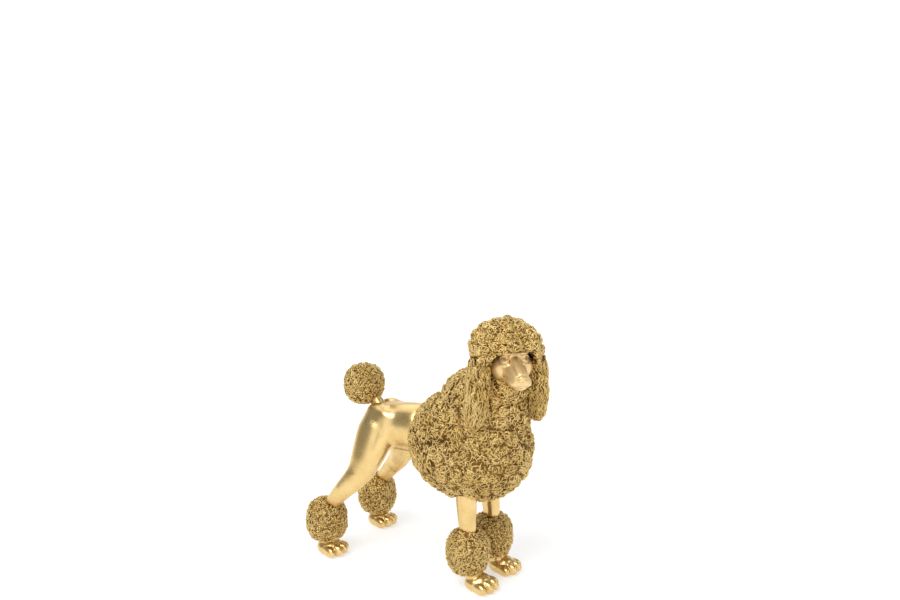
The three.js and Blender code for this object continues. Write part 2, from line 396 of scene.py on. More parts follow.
def add_ball(shape: Shape, middle: Triple, halves: Triple, turn: float = 0.0) -> None:
    """Adds an ellipsoid to a bmesh.

    Args:
        shape: The bmesh.
        middle: The ellipsoid's middle, in millimetres.
        halves: Its half-sizes, in millimetres.
        turn: Its turn about Z, in degrees.
    """
    place = Matrix.Translation(Vector(middle) * MM)
    place @= Matrix.Rotation(math.radians(turn), 4, "Z")
    place @= Matrix.Diagonal((halves[0] * MM, halves[1] * MM, halves[2] * MM, 1.0))
    ball = unit_ball().copy()
    ball.transform(place)
    shape.from_mesh(ball)
    bpy.data.meshes.remove(ball)


def add_chain(shape: Shape, links: Sequence[Link], steps: int) -> None:
    """Adds overlapping ellipsoids along a line, so that a remesh blends them to one limb.

    Args:
        shape: The bmesh.
        links: Middles and half-sizes at the line's corners, in millimetres.
        steps: Ellipsoids from one corner to the next.
    """
    for (middle_a, halves_a), (middle_b, halves_b) in zip(links, links[1:]):
        for step in range(steps + 1):
            t = step / steps
            middle = tuple(a + (b - a) * t for a, b in zip(middle_a, middle_b))
            halves = tuple(a + (b - a) * t for a, b in zip(halves_a, halves_b))
            add_ball(shape, middle, halves)


def soften(mesh: Mesh, rounds: int, above: float = -1.0) -> None:
    """Smooths a mesh.

    Args:
        mesh: The mesh.
        rounds: Rounds of smoothing.
        above: Only points above this height move, in metres.
    """
    every_axis = {"use_axis_x": True, "use_axis_y": True, "use_axis_z": True}
    with editing(mesh) as shape:
        moving = [vert for vert in shape.verts if vert.co.z > above]
        for _ in range(rounds):
            bmesh.ops.smooth_vert(shape, verts=moving, factor=0.5, **every_axis)
    mesh.update()


def fused(shape: Shape, name: str, voxel: float, smoothing: int) -> Mesh:
    """Fuses closed shapes to one even skin, keeps its outer surface, and smooths it.

    Args:
        shape: The closed shapes, which may overlap. It is freed.
        name: The new mesh's name.
        voxel: The skin's cell size, in metres.
        smoothing: Rounds of smoothing.

    Returns:
        The skin.
    """
    rough = bpy.data.meshes.new(f"{name}_rough")
    shape.to_mesh(rough)
    shape.free()
    holder = placed(rough.name, rough)
    remesh = holder.modifiers.new("Skin", "REMESH")
    remesh.mode = "VOXEL"
    remesh.voxel_size = voxel
    skin = baked(holder, name)
    bpy.data.meshes.remove(rough)
    with editing(skin) as clean:
        keep_outermost(clean)
    soften(skin, smoothing)
    return skin


def keep_outermost(shape: Shape) -> None:
    """Deletes every island of a bmesh but the one with the largest box."""
    left = set(shape.verts)
    islands = []
    while left:
        stack = [left.pop()]
        island = list(stack)
        while stack:
            for edge in stack.pop().link_edges:
                for vert in edge.verts:
                    if vert in left:
                        left.remove(vert)
                        stack.append(vert)
                        island.append(vert)
        points = np.array([vert.co[:] for vert in island])
        islands.append((float(np.prod(points.max(axis=0) - points.min(axis=0))), island))
    islands.sort(key=lambda pair: pair[0])
    for _, island in islands[:-1]:
        bmesh.ops.delete(shape, geom=island, context="VERTS")


def points_of(mesh: Mesh) -> np.ndarray:
    """A mesh's points as rows."""
    flat = np.empty(len(mesh.vertices) * 3, dtype=np.float32)
    mesh.vertices.foreach_get("co", flat)
    return flat.reshape(-1, 3).astype(float)


def normals_of(mesh: Mesh) -> np.ndarray:
    """A mesh's point normals as rows."""
    flat = np.empty(len(mesh.vertices) * 3, dtype=np.float32)
    mesh.vertex_normals.foreach_get("vector", flat)
    return flat.reshape(-1, 3).astype(float)


def set_points(mesh: Mesh, points: np.ndarray) -> None:
    """Writes a mesh's points."""
    mesh.vertices.foreach_set("co", points.astype(np.float32).ravel())
    mesh.update()


def set_depth(mesh: Mesh, values: np.ndarray) -> None:
    """Stores how far out each point lies: 0 in the hollows, 1 on the crests."""
    layer = mesh.attributes.new("depth", "FLOAT", "POINT")
    layer.data.foreach_set("value", np.clip(values, 0.0, 1.0).astype(np.float32))


def hollowness(mesh: Mesh, reach: int = 6) -> np.ndarray:
    """Measures how far each point lies below its surroundings.

    Args:
        mesh: The mesh.
        reach: Rounds of averaging, which set how wide the surroundings are.

    Returns:
        Signed heights in metres, negative in hollows.
    """
    points = points_of(mesh)
    normals = normals_of(mesh)
    ends = np.empty(len(mesh.edges) * 2, dtype=np.int32)
    mesh.edges.foreach_get("vertices", ends)
    ends = ends.reshape(-1, 2)
    count = np.bincount(ends.ravel(), minlength=len(points)).astype(float)[:, None]
    mean = points.copy()
    for _ in range(reach):
        total = np.zeros_like(mean)
        np.add.at(total, ends[:, 0], mean[ends[:, 1]])
        np.add.at(total, ends[:, 1], mean[ends[:, 0]])
        mean = total / np.maximum(count, 1.0)
    return ((points - mean) * normals).sum(axis=1)


def unit(way: np.ndarray) -> np.ndarray:
    """A direction of length 1."""
    return way / np.linalg.norm(way)


def dip(distance: np.ndarray, width: float) -> np.ndarray:
    """A soft bell: 1 at distance 0, and nearly 0 beyond twice the width."""
    return np.exp(-((distance / width) ** 2))


def shade(mesh: Mesh, level: float, reach: int, relief: float) -> None:
    """Sets a smooth casting's depth values from its hollows, which the lacquer paints brown as
    patina and painted shade.

    Args:
        mesh: The casting.
        level: The value where it is flat.
        reach: Rounds of averaging, as for hollowness.
        relief: The height that changes the value by 1, in millimetres.
    """
    set_depth(mesh, level + hollowness(mesh, reach) / (relief * MM))


def show(mesh: Mesh, nodes: Iterable[str], finish: Material) -> Piece:
    """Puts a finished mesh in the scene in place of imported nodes.

    Args:
        mesh: The finished mesh, in place.
        nodes: The nodes it stands for.
        finish: The material.

    Returns:
        The new object.
    """
    mesh.materials.clear()
    mesh.materials.append(finish)
    mesh.polygons.foreach_set("use_smooth", [True] * len(mesh.polygons))
    piece = placed(mesh.name, mesh)
    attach(piece, "root")
    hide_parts(*nodes)
    LOG.info("%s: %d faces", mesh.name, len(mesh.polygons))
    return piece


# Smooth castings


@dataclass
class LoinCasting:
    """The smooth trunk: loins, croup and both hind legs."""

    finish: Material
    voxel: float = 1.0 * MM
    smoothing: int = 10
    croup_smoothing: int = 60  # more rounds above the stifles, where thigh and flank melt together
    spigot_cap: float = 6 * MM  # thickness of the disc that closes the trunk inside the mane
    flank_fold: float = 1.0 * MM  # depth of the hollows on both sides of the fold of the flank
    fold_back: float = 34 * MM  # how far the fold lies behind the trunk's front end
    fold_below: float = 34 * MM  # how far its middle lies under the trunk's top
    fold_reach: float = 13 * MM  # how far it reaches up and down
    fold_width: float = 7 * MM  # from the fold to the middle of each hollow
    fold_lean: float = 0.10  # how much further back it lies for each length down

    def _fill_flanks(self, shape: Shape) -> None:
        """Adds the muscles that join thigh, flank and croup."""
        low, high = corners("torso", MM)
        thigh = box_middle("left_hind_leg").x / MM
        for sign in (-1, 1):
            fold = (
                ((sign * 17.5, low.y + 40, high.z - 20), (7.0, 13.0, 13.0)),
                ((sign * 18.5, low.y + 38, high.z - 38), (4.6, 9.0, 10.0)),
            )
            add_chain(shape, fold, 3)
            haunch = (
                ((sign * 11.0, low.y + 52, high.z - 16), (11.0, 16.0, 12.5)),
                ((sign * (thigh - 12), low.y + 56, high.z - 34), (9.5, 17.0, 15.0)),
            )
            add_chain(shape, haunch, 3)
        belly = (
            ((0.0, low.y + 6, high.z - 36), (17.0, 12.0, 14.0)),
            ((0.0, low.y + 34, high.z - 42), (16.0, 14.0, 11.0)),
        )
        add_chain(shape, belly, 5)

    def _fold_flanks(self, skin: Mesh) -> None:
        """Sinks a soft hollow before and behind the fold of the flank."""
        low, high = corners("torso")
        points = points_of(skin)
        normals = normals_of(skin)
        height = high.z - points[:, 2]
        fold = low.y + self.fold_back + self.fold_lean * (height - 30 * MM)
        inside = dip(height - self.fold_below, self.fold_reach) * (np.abs(normals[:, 0]) ** 1.5)
        before = dip(points[:, 1] - fold + self.fold_width, self.fold_width / 2)
        behind = dip(points[:, 1] - fold - self.fold_width, self.fold_width / 2)
        points -= normals * (self.flank_fold * inside * (0.6 * before + behind))[:, None]
        set_points(skin, points)

    def build(self) -> Piece:
        """Blends the trunk and the hind legs to one skin.

        Returns:
            The casting.
        """
        nodes = ["torso", "right_hind_leg", "left_hind_leg"]
        shape = solid_copy(nodes)
        low, high = corners("torso")
        middle = (low + high) / 2
        cap = Matrix.Translation((middle.x, low.y + self.spigot_cap / 2, middle.z))
        cap @= Matrix.Rotation(math.pi / 2, 4, "X")
        radius = ((high.z - low.z) / 2 - 1.5 * MM) * 0.9
        bmesh.ops.create_cone(
            shape,
            cap_ends=True,
            segments=48,
            radius1=radius,
            radius2=radius,
            depth=self.spigot_cap,
            matrix=cap,
        )
        self._fill_flanks(shape)
        skin = fused(shape, "loin_casting", self.voxel, self.smoothing)
        soften(skin, self.croup_smoothing, box_middle("left_hind_leg").z + 8 * MM)
        self._fold_flanks(skin)
        soften(skin, 3)
        shade(skin, 0.85, 10, 0.4)
        return show(skin, nodes, self.finish)


@dataclass
class TailCasting:
    """The smooth stem of the tail, flared where it leaves the croup."""

    finish: Material
    voxel: float = 0.5 * MM
    smoothing: int = 10

    def build(self) -> Piece:
        """Models the stem.

        Returns:
            The casting.
        """
        low, high = corners("tail_stem", MM)
        half = (high.z - low.z) / 2
        stem = (
            ((0.0, low.y + 7.0, low.z + 10.0), (8.0, 10.0, 7.0)),
            ((0.0, low.y + 9.5, low.z + 15.5), (6.2, 7.0, 6.0)),
            ((0.0, low.y + 14.0, low.z + half + 4.5), (5.4, 5.6, 6.0)),
            ((0.0, high.y - 6.5, high.z - 6.0), (5.6, 5.6, 6.0)),
        )
        shape = bmesh.new()
        add_chain(shape, stem, 6)
        skin = fused(shape, "tail_casting", self.voxel, self.smoothing)
        shade(skin, 0.7, 8, 0.35)
        return show(skin, ["tail_stem"], self.finish)


@dataclass
class ForelegCasting:
    """A smooth front leg, with a shallow groove between bone and tendon."""

    side: str
    finish: Material
    voxel: float = 0.7 * MM
    smoothing: int = 8
    groove: float = 0.6 * MM  # its depth
    groove_back: float = 2.6 * MM  # how far it lies behind the leg's middle
    groove_width: float = 3.2 * MM

    def build(self) -> Piece:
        """Models the leg.

        Returns:
            The casting.
        """
        node = f"{self.side}_front_leg"
        name = f"{self.side}_foreleg_casting"
        skin = fused(solid_copy([node]), name, self.voxel, self.smoothing)
        middle = box_middle(node)
        points = points_of(skin)
        normals = normals_of(skin)
        across = np.abs(points[:, 1] - middle.y - self.groove_back) / self.groove_width
        facing = np.clip(np.abs(normals[:, 0]), 0.0, 1.0) ** 2
        points -= normals * (self.groove * np.exp(-(across**2)) * facing)[:, None]
        set_points(skin, points)
        shade(skin, 0.85, 8, 0.35)
        return show(skin, [node], self.finish)


@dataclass
class PawCasting:
    """A smooth paw with four arched toes and the ankle that enters the cuff."""

    side: str
    end: str
    finish: Material
    voxel: float = 0.5 * MM
    smoothing: int = 5
    sole: float = 0.6 * MM  # height of the flat underside, within the felt pad
    toes: tuple[tuple[Triple, Triple, float], ...] = (
        ((3.9, -8.6, 6.3), (4.3, 9.4, 6.4), 3.0),
        ((9.8, -4.4, 5.6), (4.3, 9.2, 5.7), 14.0),
    )

    def build(self) -> Piece:
        """Models the paw around its felt pad's middle.

        Returns:
            The casting.
        """
        node = f"{self.side}_{self.end}_paw"
        centre = box_middle(f"{self.side}_{self.end}_foot_pad") / MM
        leg = box_middle(f"{self.side}_{self.end}_cuff") / MM
        shape = bmesh.new()
        add_ball(shape, (centre.x, centre.y + 2.6, 6.6), (12.6, 14.4, 9.4))
        add_ball(shape, (centre.x, centre.y - 0.6, 8.0), (10.6, 10.4, 8.8))
        for sign in (-1, 1):
            for (x, y, z), halves, turn in self.toes:
                add_ball(shape, (centre.x + sign * x, centre.y + y, z), halves, turn * sign)
        ankle = ((centre.x, centre.y + 4.0, 10.0), (9.6, 9.0, 8.0))
        top = ((leg.x, leg.y - 1.0, 22.0), (8.4, 9.0, 7.0))
        add_chain(shape, (ankle, top), 4)
        skin = fused(shape, f"{self.side}_{self.end}_paw_casting", self.voxel, self.smoothing)
        with editing(skin) as cut:
            everything = cut.verts[:] + cut.edges[:] + cut.faces[:]
            sole = {"plane_co": (0, 0, self.sole), "plane_no": (0, 0, 1), "clear_inner": True}
            made = bmesh.ops.bisect_plane(cut, geom=everything, **sole)
            rim = [item for item in made["geom_cut"] if isinstance(item, bmesh.types.BMEdge)]
            bmesh.ops.holes_fill(cut, edges=rim, sides=0)
        shade(skin, 0.72, 8, 0.3)
        return show(skin, [node], self.finish)


@dataclass
class HeadCasting:
    """The smooth head: skull, long muzzle, jaw, cheeks, brows and lids, with nose and eyes.

    Shapes are given in the head's own frame, in millimetres: the muzzle points along -Y, the left
    eye lies towards +X, and the origin is the skull's middle.
    """

    finish: Material
    voxel: float = 0.5 * MM
    smoothing: int = 7
    eye_back: float = 18.6 * MM  # how far the eyes lie ahead of the skull's middle
    eye_up: float = 2.4 * MM
    eye_radius: float = 4.2
    eye_draw: float = 1.8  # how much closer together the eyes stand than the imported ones
    eye_lift: float = 2.6  # how much higher
    lid: float = 0.8
    slit: Span = (4.0, 2.0)  # half-length and half-height of the eye opening
    lid_depth: float = 2.4  # how deep the opening is cut
    crease_depth: float = 0.7  # of the line over the lid
    mouth_depth: float = 1.0
    mouth_line: tuple[Triple, ...] = (
        (11.2, -20.0, -14.2),
        (10.2, -31.0, -15.0),
        (6.4, -43.5, -15.2),
        (0.0, -48.0, -14.6),
    )
    philtrum_depth: float = 0.7
    nostril_depth: float = 1.5
    iris: float = 34.0  # angle of the engraved ring from the middle of the eye, in degrees
    iris_depth: float = 0.12
    pupil: float = 17.0  # angle of the pupil's rim, in degrees
    pupil_depth: float = 0.45
    place: Matrix = field(init=False)
    half_gap: float = field(init=False)  # from the middle plane to an eye
    eye_height: float = field(init=False)

    def __post_init__(self) -> None:
        """Finds the head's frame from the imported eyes."""
        right = box_middle("right_eye")
        left = box_middle("left_eye")
        across = (left - right).normalized()
        up = Vector((0.0, 0.0, 1.0))
        back = up.cross(across).normalized()
        origin = (left + right) / 2 + back * self.eye_back - up * self.eye_up
        turn = Matrix((across, back, up)).transposed().to_4x4()
        self.place = Matrix.Translation(origin) @ turn
        self.half_gap = (left - right).length / 2 / MM - self.eye_draw
        self.eye_height = self.eye_up / MM + self.eye_lift

    def _shell(self) -> Shape:
        """The head's masses before they are blended."""
        shape = bmesh.new()
        add_ball(shape, (0, 2, -1), (18.5, 21.0, 18.0))
        add_ball(shape, (0, -12.5, 5.0), (13.0, 10.0, 10.5))
        muzzle = (
            ((0, -14, -4.5), (12.4, 10.0, 11.5)),
            ((0, -24, -7.0), (10.6, 9.0, 9.4)),
            ((0, -34, -9.2), (9.6, 8.4, 8.0)),
            ((0, -40.5, -10.8), (9.0, 8.0, 7.2)),
        )
        add_chain(shape, muzzle, 8)
        bridge = (((0, -18, 4.6), (5.0, 5.0, 4.0)), ((0, -42, -5.0), (4.6, 4.0, 2.8)))
        add_chain(shape, bridge, 12)
        jaw = (
            ((0, -8, -13.5), (12.0, 9.0, 6.5)),
            ((0, -24, -15.6), (9.0, 8.0, 4.6)),
            ((0, -37, -17.0), (7.2, 7.0, 3.8)),
        )
        add_chain(shape, jaw, 8)
        for sign in (-1, 1):
            add_ball(shape, (sign * 12.0, -8.5, -5.5), (7.6, 11.5, 11.5))
            add_ball(shape, (sign * 5.6, -37.5, -12.8), (5.2, 9.0, 4.8))
            add_ball(shape, (sign * 8.6, -19.2, 9.8), (5.6, 4.0, 2.8), sign * 24)
            cheekbone = (
                ((sign * 6.8, -21.5, -0.4), (3.6, 4.4, 3.4)),
                ((sign * 13.0, -14.0, -2.6), (4.2, 5.0, 4.0)),
            )
            add_chain(shape, cheekbone, 5)
            eye = (sign * self.half_gap, -self.eye_back / MM, self.eye_height)
            add_ball(shape, eye, (self.eye_radius + self.lid,) * 3)
        return shape

    def _carve(self, skin: Mesh) -> None:
        """Opens the lids, and cuts the creases over them, the mouth line and the philtrum."""
        points = points_of(skin) / MM
        normals = normals_of(skin)
        for sign in (-1, 1):
            eye = np.array((sign * self.half_gap, -self.eye_back / MM, self.eye_height))
            outward = unit(np.array((sign * 0.55, -0.83, 0.05)))
            level = unit(np.cross((0.0, 0.0, 1.0), outward))
            upright = np.cross(outward, level)
            offset = points - eye
            ahead = offset @ outward
            u = offset @ level / self.slit[0]
            v = (offset @ upright + 0.15 * u * sign) / self.slit[1]
            edge = np.abs(v) / np.maximum(1.0 - u**2, 0.02)
            inside = np.clip((1.15 - edge) / 0.3, 0.0, 1.0) * (ahead > 0) * (np.abs(u) < 1.0)
            near = np.linalg.norm(offset, axis=1) < self.eye_radius + self.lid + 2.5
            points -= (inside * near * self.lid_depth)[:, None] * outward
            crease = np.abs(offset @ upright - 3.9 + 0.25 * (offset @ level) ** 2 / 6.0)
            above = dip(crease, 0.55) * (ahead > 0.8) * near
            points -= normals * (self.crease_depth * above)[:, None]
        mouth = np.array(self.mouth_line)
        mouth = np.vstack([mouth, mouth[::-1] * (-1, 1, 1)])
        gap = distance_to_line(points, mouth)
        points -= normals * (self.mouth_depth * dip(gap, 0.7))[:, None]
        philtrum = np.array([(0.0, -48.5, -8.5), (0.0, -48.0, -14.0)])
        gap = distance_to_line(points, philtrum)
        points -= normals * (self.philtrum_depth * dip(gap, 0.55))[:, None]
        set_points(skin, points * MM)

    def _nose(self) -> Piece:
        """The nose leather with its two nostrils."""
        centre = self.place.inverted() @ box_middle("nose") / MM
        shape = bmesh.new()
        add_ball(shape, (centre.x, centre.y + 0.6, centre.z), (5.0, 4.0, 3.4))
        add_ball(shape, (centre.x, centre.y - 1.0, centre.z + 0.5), (4.4, 3.2, 2.8))
        for sign in (-1, 1):
            wing = (centre.x + sign * 3.0, centre.y + 0.2, centre.z - 0.3)
            add_ball(shape, wing, (2.6, 3.4, 2.6))
        skin = fused(shape, "nose_leather", 0.3 * MM, 3)
        points = points_of(skin) / MM
        normals = normals_of(skin)
        for sign in (-1, 1):
            comma = np.array(
                [
                    (centre.x + sign * 1.9, centre.y - 4.4, centre.z - 0.2),
                    (centre.x + sign * 3.6, centre.y - 3.4, centre.z + 0.1),
                    (centre.x + sign * 5.0, centre.y - 1.4, centre.z - 0.9),
                ]
            )
            gap = distance_to_line(points, comma)
            points -= normals * (self.nostril_depth * dip(gap, 0.75))[:, None]
        set_points(skin, points * MM)
        shade(skin, 0.62, 5, 0.18)
        skin.transform(self.place)
        return show(skin, ["nose"], self.finish)

    def _eyeball(self, side: str) -> Piece:
        """An eyeball with an engraved iris and a sunk pupil."""
        sign = -1 if side == "right" else 1
        eye = (sign * self.half_gap, -self.eye_back / MM, self.eye_height)
        shape = bmesh.new()
        add_ball(shape, eye, (self.eye_radius,) * 3)
        skin = fused(shape, f"{side}_eyeball", 0.25 * MM, 2)
        points = points_of(skin) / MM
        normals = normals_of(skin)
        outward = unit(np.array((sign * 0.42, -0.9, 0.02)))
        ray = (points - np.array(eye)) / np.linalg.norm(points - np.array(eye), axis=1)[:, None]
        angle = np.degrees(np.arccos(np.clip(ray @ outward, -1.0, 1.0)))
        ring = dip(angle - self.iris, 4.0) * self.iris_depth
        pupil = np.clip((self.pupil - angle) / 6.0, 0.0, 1.0) * self.pupil_depth
        points -= normals * (ring + pupil)[:, None]
        set_points(skin, points * MM)
        set_depth(skin, 0.17 + 0.9 * ring - 0.4 * pupil)
        skin.transform(self.place)
        return show(skin, [f"{side}_eye"], self.finish)

    def build(self) -> list[Piece]:
        """Models the head, nose and eyes.

        Returns:
            Their objects.
        """
        skin = fused(self._shell(), "head_casting", self.voxel, self.smoothing)
        self._carve(skin)
        shade(skin, 0.8, 9, 0.42)
        skin.transform(self.place)
        made = [show(skin, ["head"], self.finish), self._nose()]
        return made + [self._eyeball("right"), self._eyeball("left")]


def distance_to_line(points: np.ndarray, line: np.ndarray) -> np.ndarray:
    """The distance from each point to a line of straight stretches.

    Args:
        points: Points as rows.
        line: The line's corners as rows.

    Returns:
        One distance for each point.
    """
    best = np.full(len(points), np.inf)
    for start, end in zip(line, line[1:]):
        run = end - start
        share = np.clip((points - start) @ run / max(run @ run, 1e-12), 0.0, 1.0)
        best = np.minimum(best, np.linalg.norm(points - start - share[:, None] * run, axis=1))
    return best


# The curled coat

Cell = tuple[int, int, int]
NEIGHBOURS = list(itertools.product((-1, 0, 1), repeat=3))
TRIES = 7  # random places tried for each place that fits


class Curl(Enum):
    """How the strands of a stretch of coat bend."""

    HOOK = "hook"  # short strands that curl over at the end
    WAVE = "wave"  # long strands that sway from side to side
    RING = "ring"  # short strands wound nearly to a ring


@dataclass(frozen=True)
class CoatStyle:
    """The sizes of a stretch of coat, in millimetres and radians."""

    curl: Curl
    clump: float  # spacing of the clumps
    rise: float  # height of a clump over the creases round it
    gap: float  # least spacing of the strands' roots
    thick: float  # radius of a strand
    length: Span
    turn: Span  # how far a strand turns from end to end
    stray: float  # how far a strand's heading strays from its clump's
    loft: float  # how high a strand arches off the ground
    spread: float = 1.2  # how far a clump's heading strays from hanging
    stretch: float = 1.0  # how much longer than wide the clumps hang
    sink: float = 1.0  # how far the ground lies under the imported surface
    pitch: float = 8.0  # length of one sway of a waved strand
    facets: int = 0  # rounds of extra facets round a strand
    furrow: float = 0.62  # width of the creases between clumps, beside the clumps' spacing
    dome: float = 1.1  # radius of a clump's dome, beside the spacing
    clump_height: Span = (0.55, 1.0)  # lowest and highest clump
    agree: float = 0.75  # share of the strands that curl their clump's way
    unevenness: Span = (0.8, 1.15)  # thinnest and thickest strand
    tip: float = 0.35  # thickness of a strand's ends beside its middle
    tone_spread: float = 0.14  # how far strands differ in depth value
    ground_depth: float = 0.16  # depth value of the ground on top of a clump, kept low so the ground under the strands gets brown patina and painted shade
    sway_step: float = 2.2  # length of one step along a waved strand


@dataclass
class Strand:
    """One strand's line, its thickness along it and its depth values."""

    places: list[Vector] = field(default_factory=list)
    thick: list[float] = field(default_factory=list)
    depth: list[float] = field(default_factory=list)

    def add(self, place: Vector, thick: float, depth: float) -> None:
        """Lengthens the strand by a point, unless it repeats the last one."""
        if self.places and (place - self.places[-1]).length < 0.05 * MM:
            return
        self.places.append(place)
        self.thick.append(thick)
        self.depth.append(depth)


def crowded(cells: dict[Cell, list[Triple]], key: Cell, spot: Triple, limit: float) -> bool:
    """Whether a spot lies too close to a kept one.

    Args:
        cells: The kept spots by their cells.
        key: The spot's cell.
        spot: The spot.
        limit: The square of the least distance.

    Returns:
        True if it does.
    """
    (i, j, k), (a, b, c) = key, spot
    for x, y, z in NEIGHBOURS:
        for d, e, f in cells.get((i + x, j + y, k + z), ()):
            if (a - d) ** 2 + (b - e) ** 2 + (c - f) ** 2 < limit:
                return True
    return False


@dataclass
class Coat:
    """A stretch of curled coat: a lumpy ground and the strands over it."""

    name: str
    node: str
    style: CoatStyle
    finish: Material
    seed: int
    voxel: float = 1.2 * MM
    per_piece: int = 1700
    core: Vector | None = None  # strands grow only where the surface faces away from here
    least_outward: float = 0.12  # cosine from the core's direction below which none grow
    rng: np.random.Generator = field(init=False)
    ground: Mesh = field(init=False)
    tree: BVHTree = field(init=False)
    clumps: KDTree = field(init=False)
    heading: np.ndarray = field(init=False)  # of each clump, from hanging, in radians
    spin: np.ndarray = field(init=False)  # the way each clump curls, 1 or -1
    height: np.ndarray = field(init=False)  # of each clump, beside the highest

    def build(self) -> list[Piece]:
        """Models the ground and the strands.

        Returns:
            The objects, the ground first.
        """
        self.rng = np.random.default_rng(self.seed)
        self.ground = fused(self.shape(), f"{self.name}_ground", self.voxel, 4)
        self._plant_clumps()
        self._lump_ground()
        self._clear_ground()
        made = [show(self.ground, self._nodes(), self.finish)]
        strands = [self._strand(*site) for site in self._sites(self.style.gap * MM)]
        strands = [strand for strand in strands if len(strand.places) > 2]
        LOG.info("%s: %d strands", self.name, len(strands))
        batches = max(1, math.ceil(len(strands) / self.per_piece))
        for index in range(batches):
            made.append(self._weave(strands[index::batches], f"{self.name}_curls_{index + 1}"))
        return made

    def shape(self) -> Shape:
        """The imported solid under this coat."""
        return solid_copy([self.node])

    def clear(self, place: Vector) -> Vector:
        """Moves a point of the coat out of anything it must leave free."""
        return place

    def mould(self, place: Vector) -> Vector:
        """Moves a point of the ground for a coat of a special shape."""
        return place

    def _clear_ground(self) -> None:
        """Gives the ground its special shape and moves it out of anything it must leave free."""
        cleared = [self.clear(self.mould(Vector(p))) for p in points_of(self.ground)]
        set_points(self.ground, np.array([p[:] for p in cleared]))
        self._remember_ground()

    def _nodes(self) -> list[str]:
        """The nodes this coat stands for."""
        return [self.node]

    def _plant_clumps(self) -> None:
        """Spaces the clumps over the ground, each with its own heading and spin."""
        self._remember_ground()
        sites = self._sites(self.style.clump * MM, self.style.stretch)
        self.clumps = KDTree(len(sites))
        for index, (place, _) in enumerate(sites):
            self.clumps.insert(self._squeezed(place), index)
        self.clumps.balance()
        self.heading = self.rng.uniform(-1.0, 1.0, len(sites)) * self.style.spread
        self.spin = self.rng.choice((-1.0, 1.0), len(sites))
        self.height = self.rng.uniform(*self.style.clump_height, len(sites))

    def _squeezed(self, place: Vector) -> Vector:
        """A place in the space where hanging clumps are as long as wide."""
        return Vector((place.x, place.y, place.z / self.style.stretch))

    def _remember_ground(self) -> None:
        """Keeps the ground for finding places on it."""
        self.tree = BVHTree.FromPolygons(
            [v.co.copy() for v in self.ground.vertices],
            [tuple(p.vertices) for p in self.ground.polygons],
        )

    def _swell(self, place: Vector) -> tuple[float, int]:
        """How high the coat swells over a place.

        Args:
            place: A point on the ground.

        Returns:
            The height, from 0 in a crease to about 1 on a clump, and the clump's number.
        """
        style = self.style
        (_, first, near), (_, _, next_near) = self.clumps.find_n(self._squeezed(place), 2)
        ridge = min(1.0, (next_near - near) / (style.furrow * style.clump * MM))
        dome = max(0.0, 1.0 - (near / (style.dome * style.clump * MM)) ** 2)
        crest = self.height[first] * math.sin(0.5 * math.pi * ridge) ** 0.8
        return crest * (0.35 + 0.65 * dome), first

    def _lump_ground(self) -> None:
        """Raises the clumps, and sinks the ground so that the strands end near the surface."""
        style = self.style
        points = points_of(self.ground)
        normals = normals_of(self.ground)
        swell = np.array([self._swell(Vector(p))[0] for p in points])
        lift = (style.rise * (swell - 0.6) - style.sink) * MM
        set_points(self.ground, points + normals * lift[:, None])
        # The ground is browner in the creases: patina and painted shade.
        set_depth(self.ground, style.ground_depth * swell)
        self._remember_ground()

    def _outer(self, place: Vector, normal: Vector) -> bool:
        """Whether a point of the ground lies on the outside of the coat."""
        if self.core is None:
            return True
        away = place - self.core
        return normal.dot(away) > self.least_outward * away.length

    def _sites(self, spacing: float, stretch: float = 1.0) -> list[tuple[Vector, Vector]]:
        """Evenly spaced places on the outside of the ground.

        Args:
            spacing: The least distance between two places, in metres.
            stretch: How much further apart they are up and down.

        Returns:
            Places with their normals.
        """
        mesh = self.ground
        mesh.calc_loop_triangles()
        count = len(mesh.loop_triangles)
        corners = np.empty(count * 3, dtype=np.int32)
        mesh.loop_triangles.foreach_get("vertices", corners)
        points = points_of(mesh)[corners.reshape(-1, 3)]
        sides = points[:, 1] - points[:, 0], points[:, 2] - points[:, 0]
        area = np.linalg.norm(np.cross(*sides), axis=1) / 2
        tries = int(area.sum() / (spacing**2 * stretch) * TRIES)
        picks = self.rng.choice(count, size=tries, p=area / area.sum())
        mix = self.rng.dirichlet((1, 1, 1), size=tries)
        places = np.einsum("ij,ijk->ik", mix, points[picks])
        squeezed = places / (1.0, 1.0, stretch)
        keys = np.floor(squeezed / spacing).astype(int)
        cells: dict[Cell, list[Triple]] = {}
        kept = []
        for place, spot, key in zip(places, squeezed.tolist(), keys.tolist()):
            if crowded(cells, key, spot, spacing * spacing):
                continue
            cells.setdefault(tuple(key), []).append(tuple(spot))
            spot, normal, _, _ = self.tree.find_nearest(Vector(place))
            if self._outer(spot, normal):
                kept.append((spot, normal))
        return kept

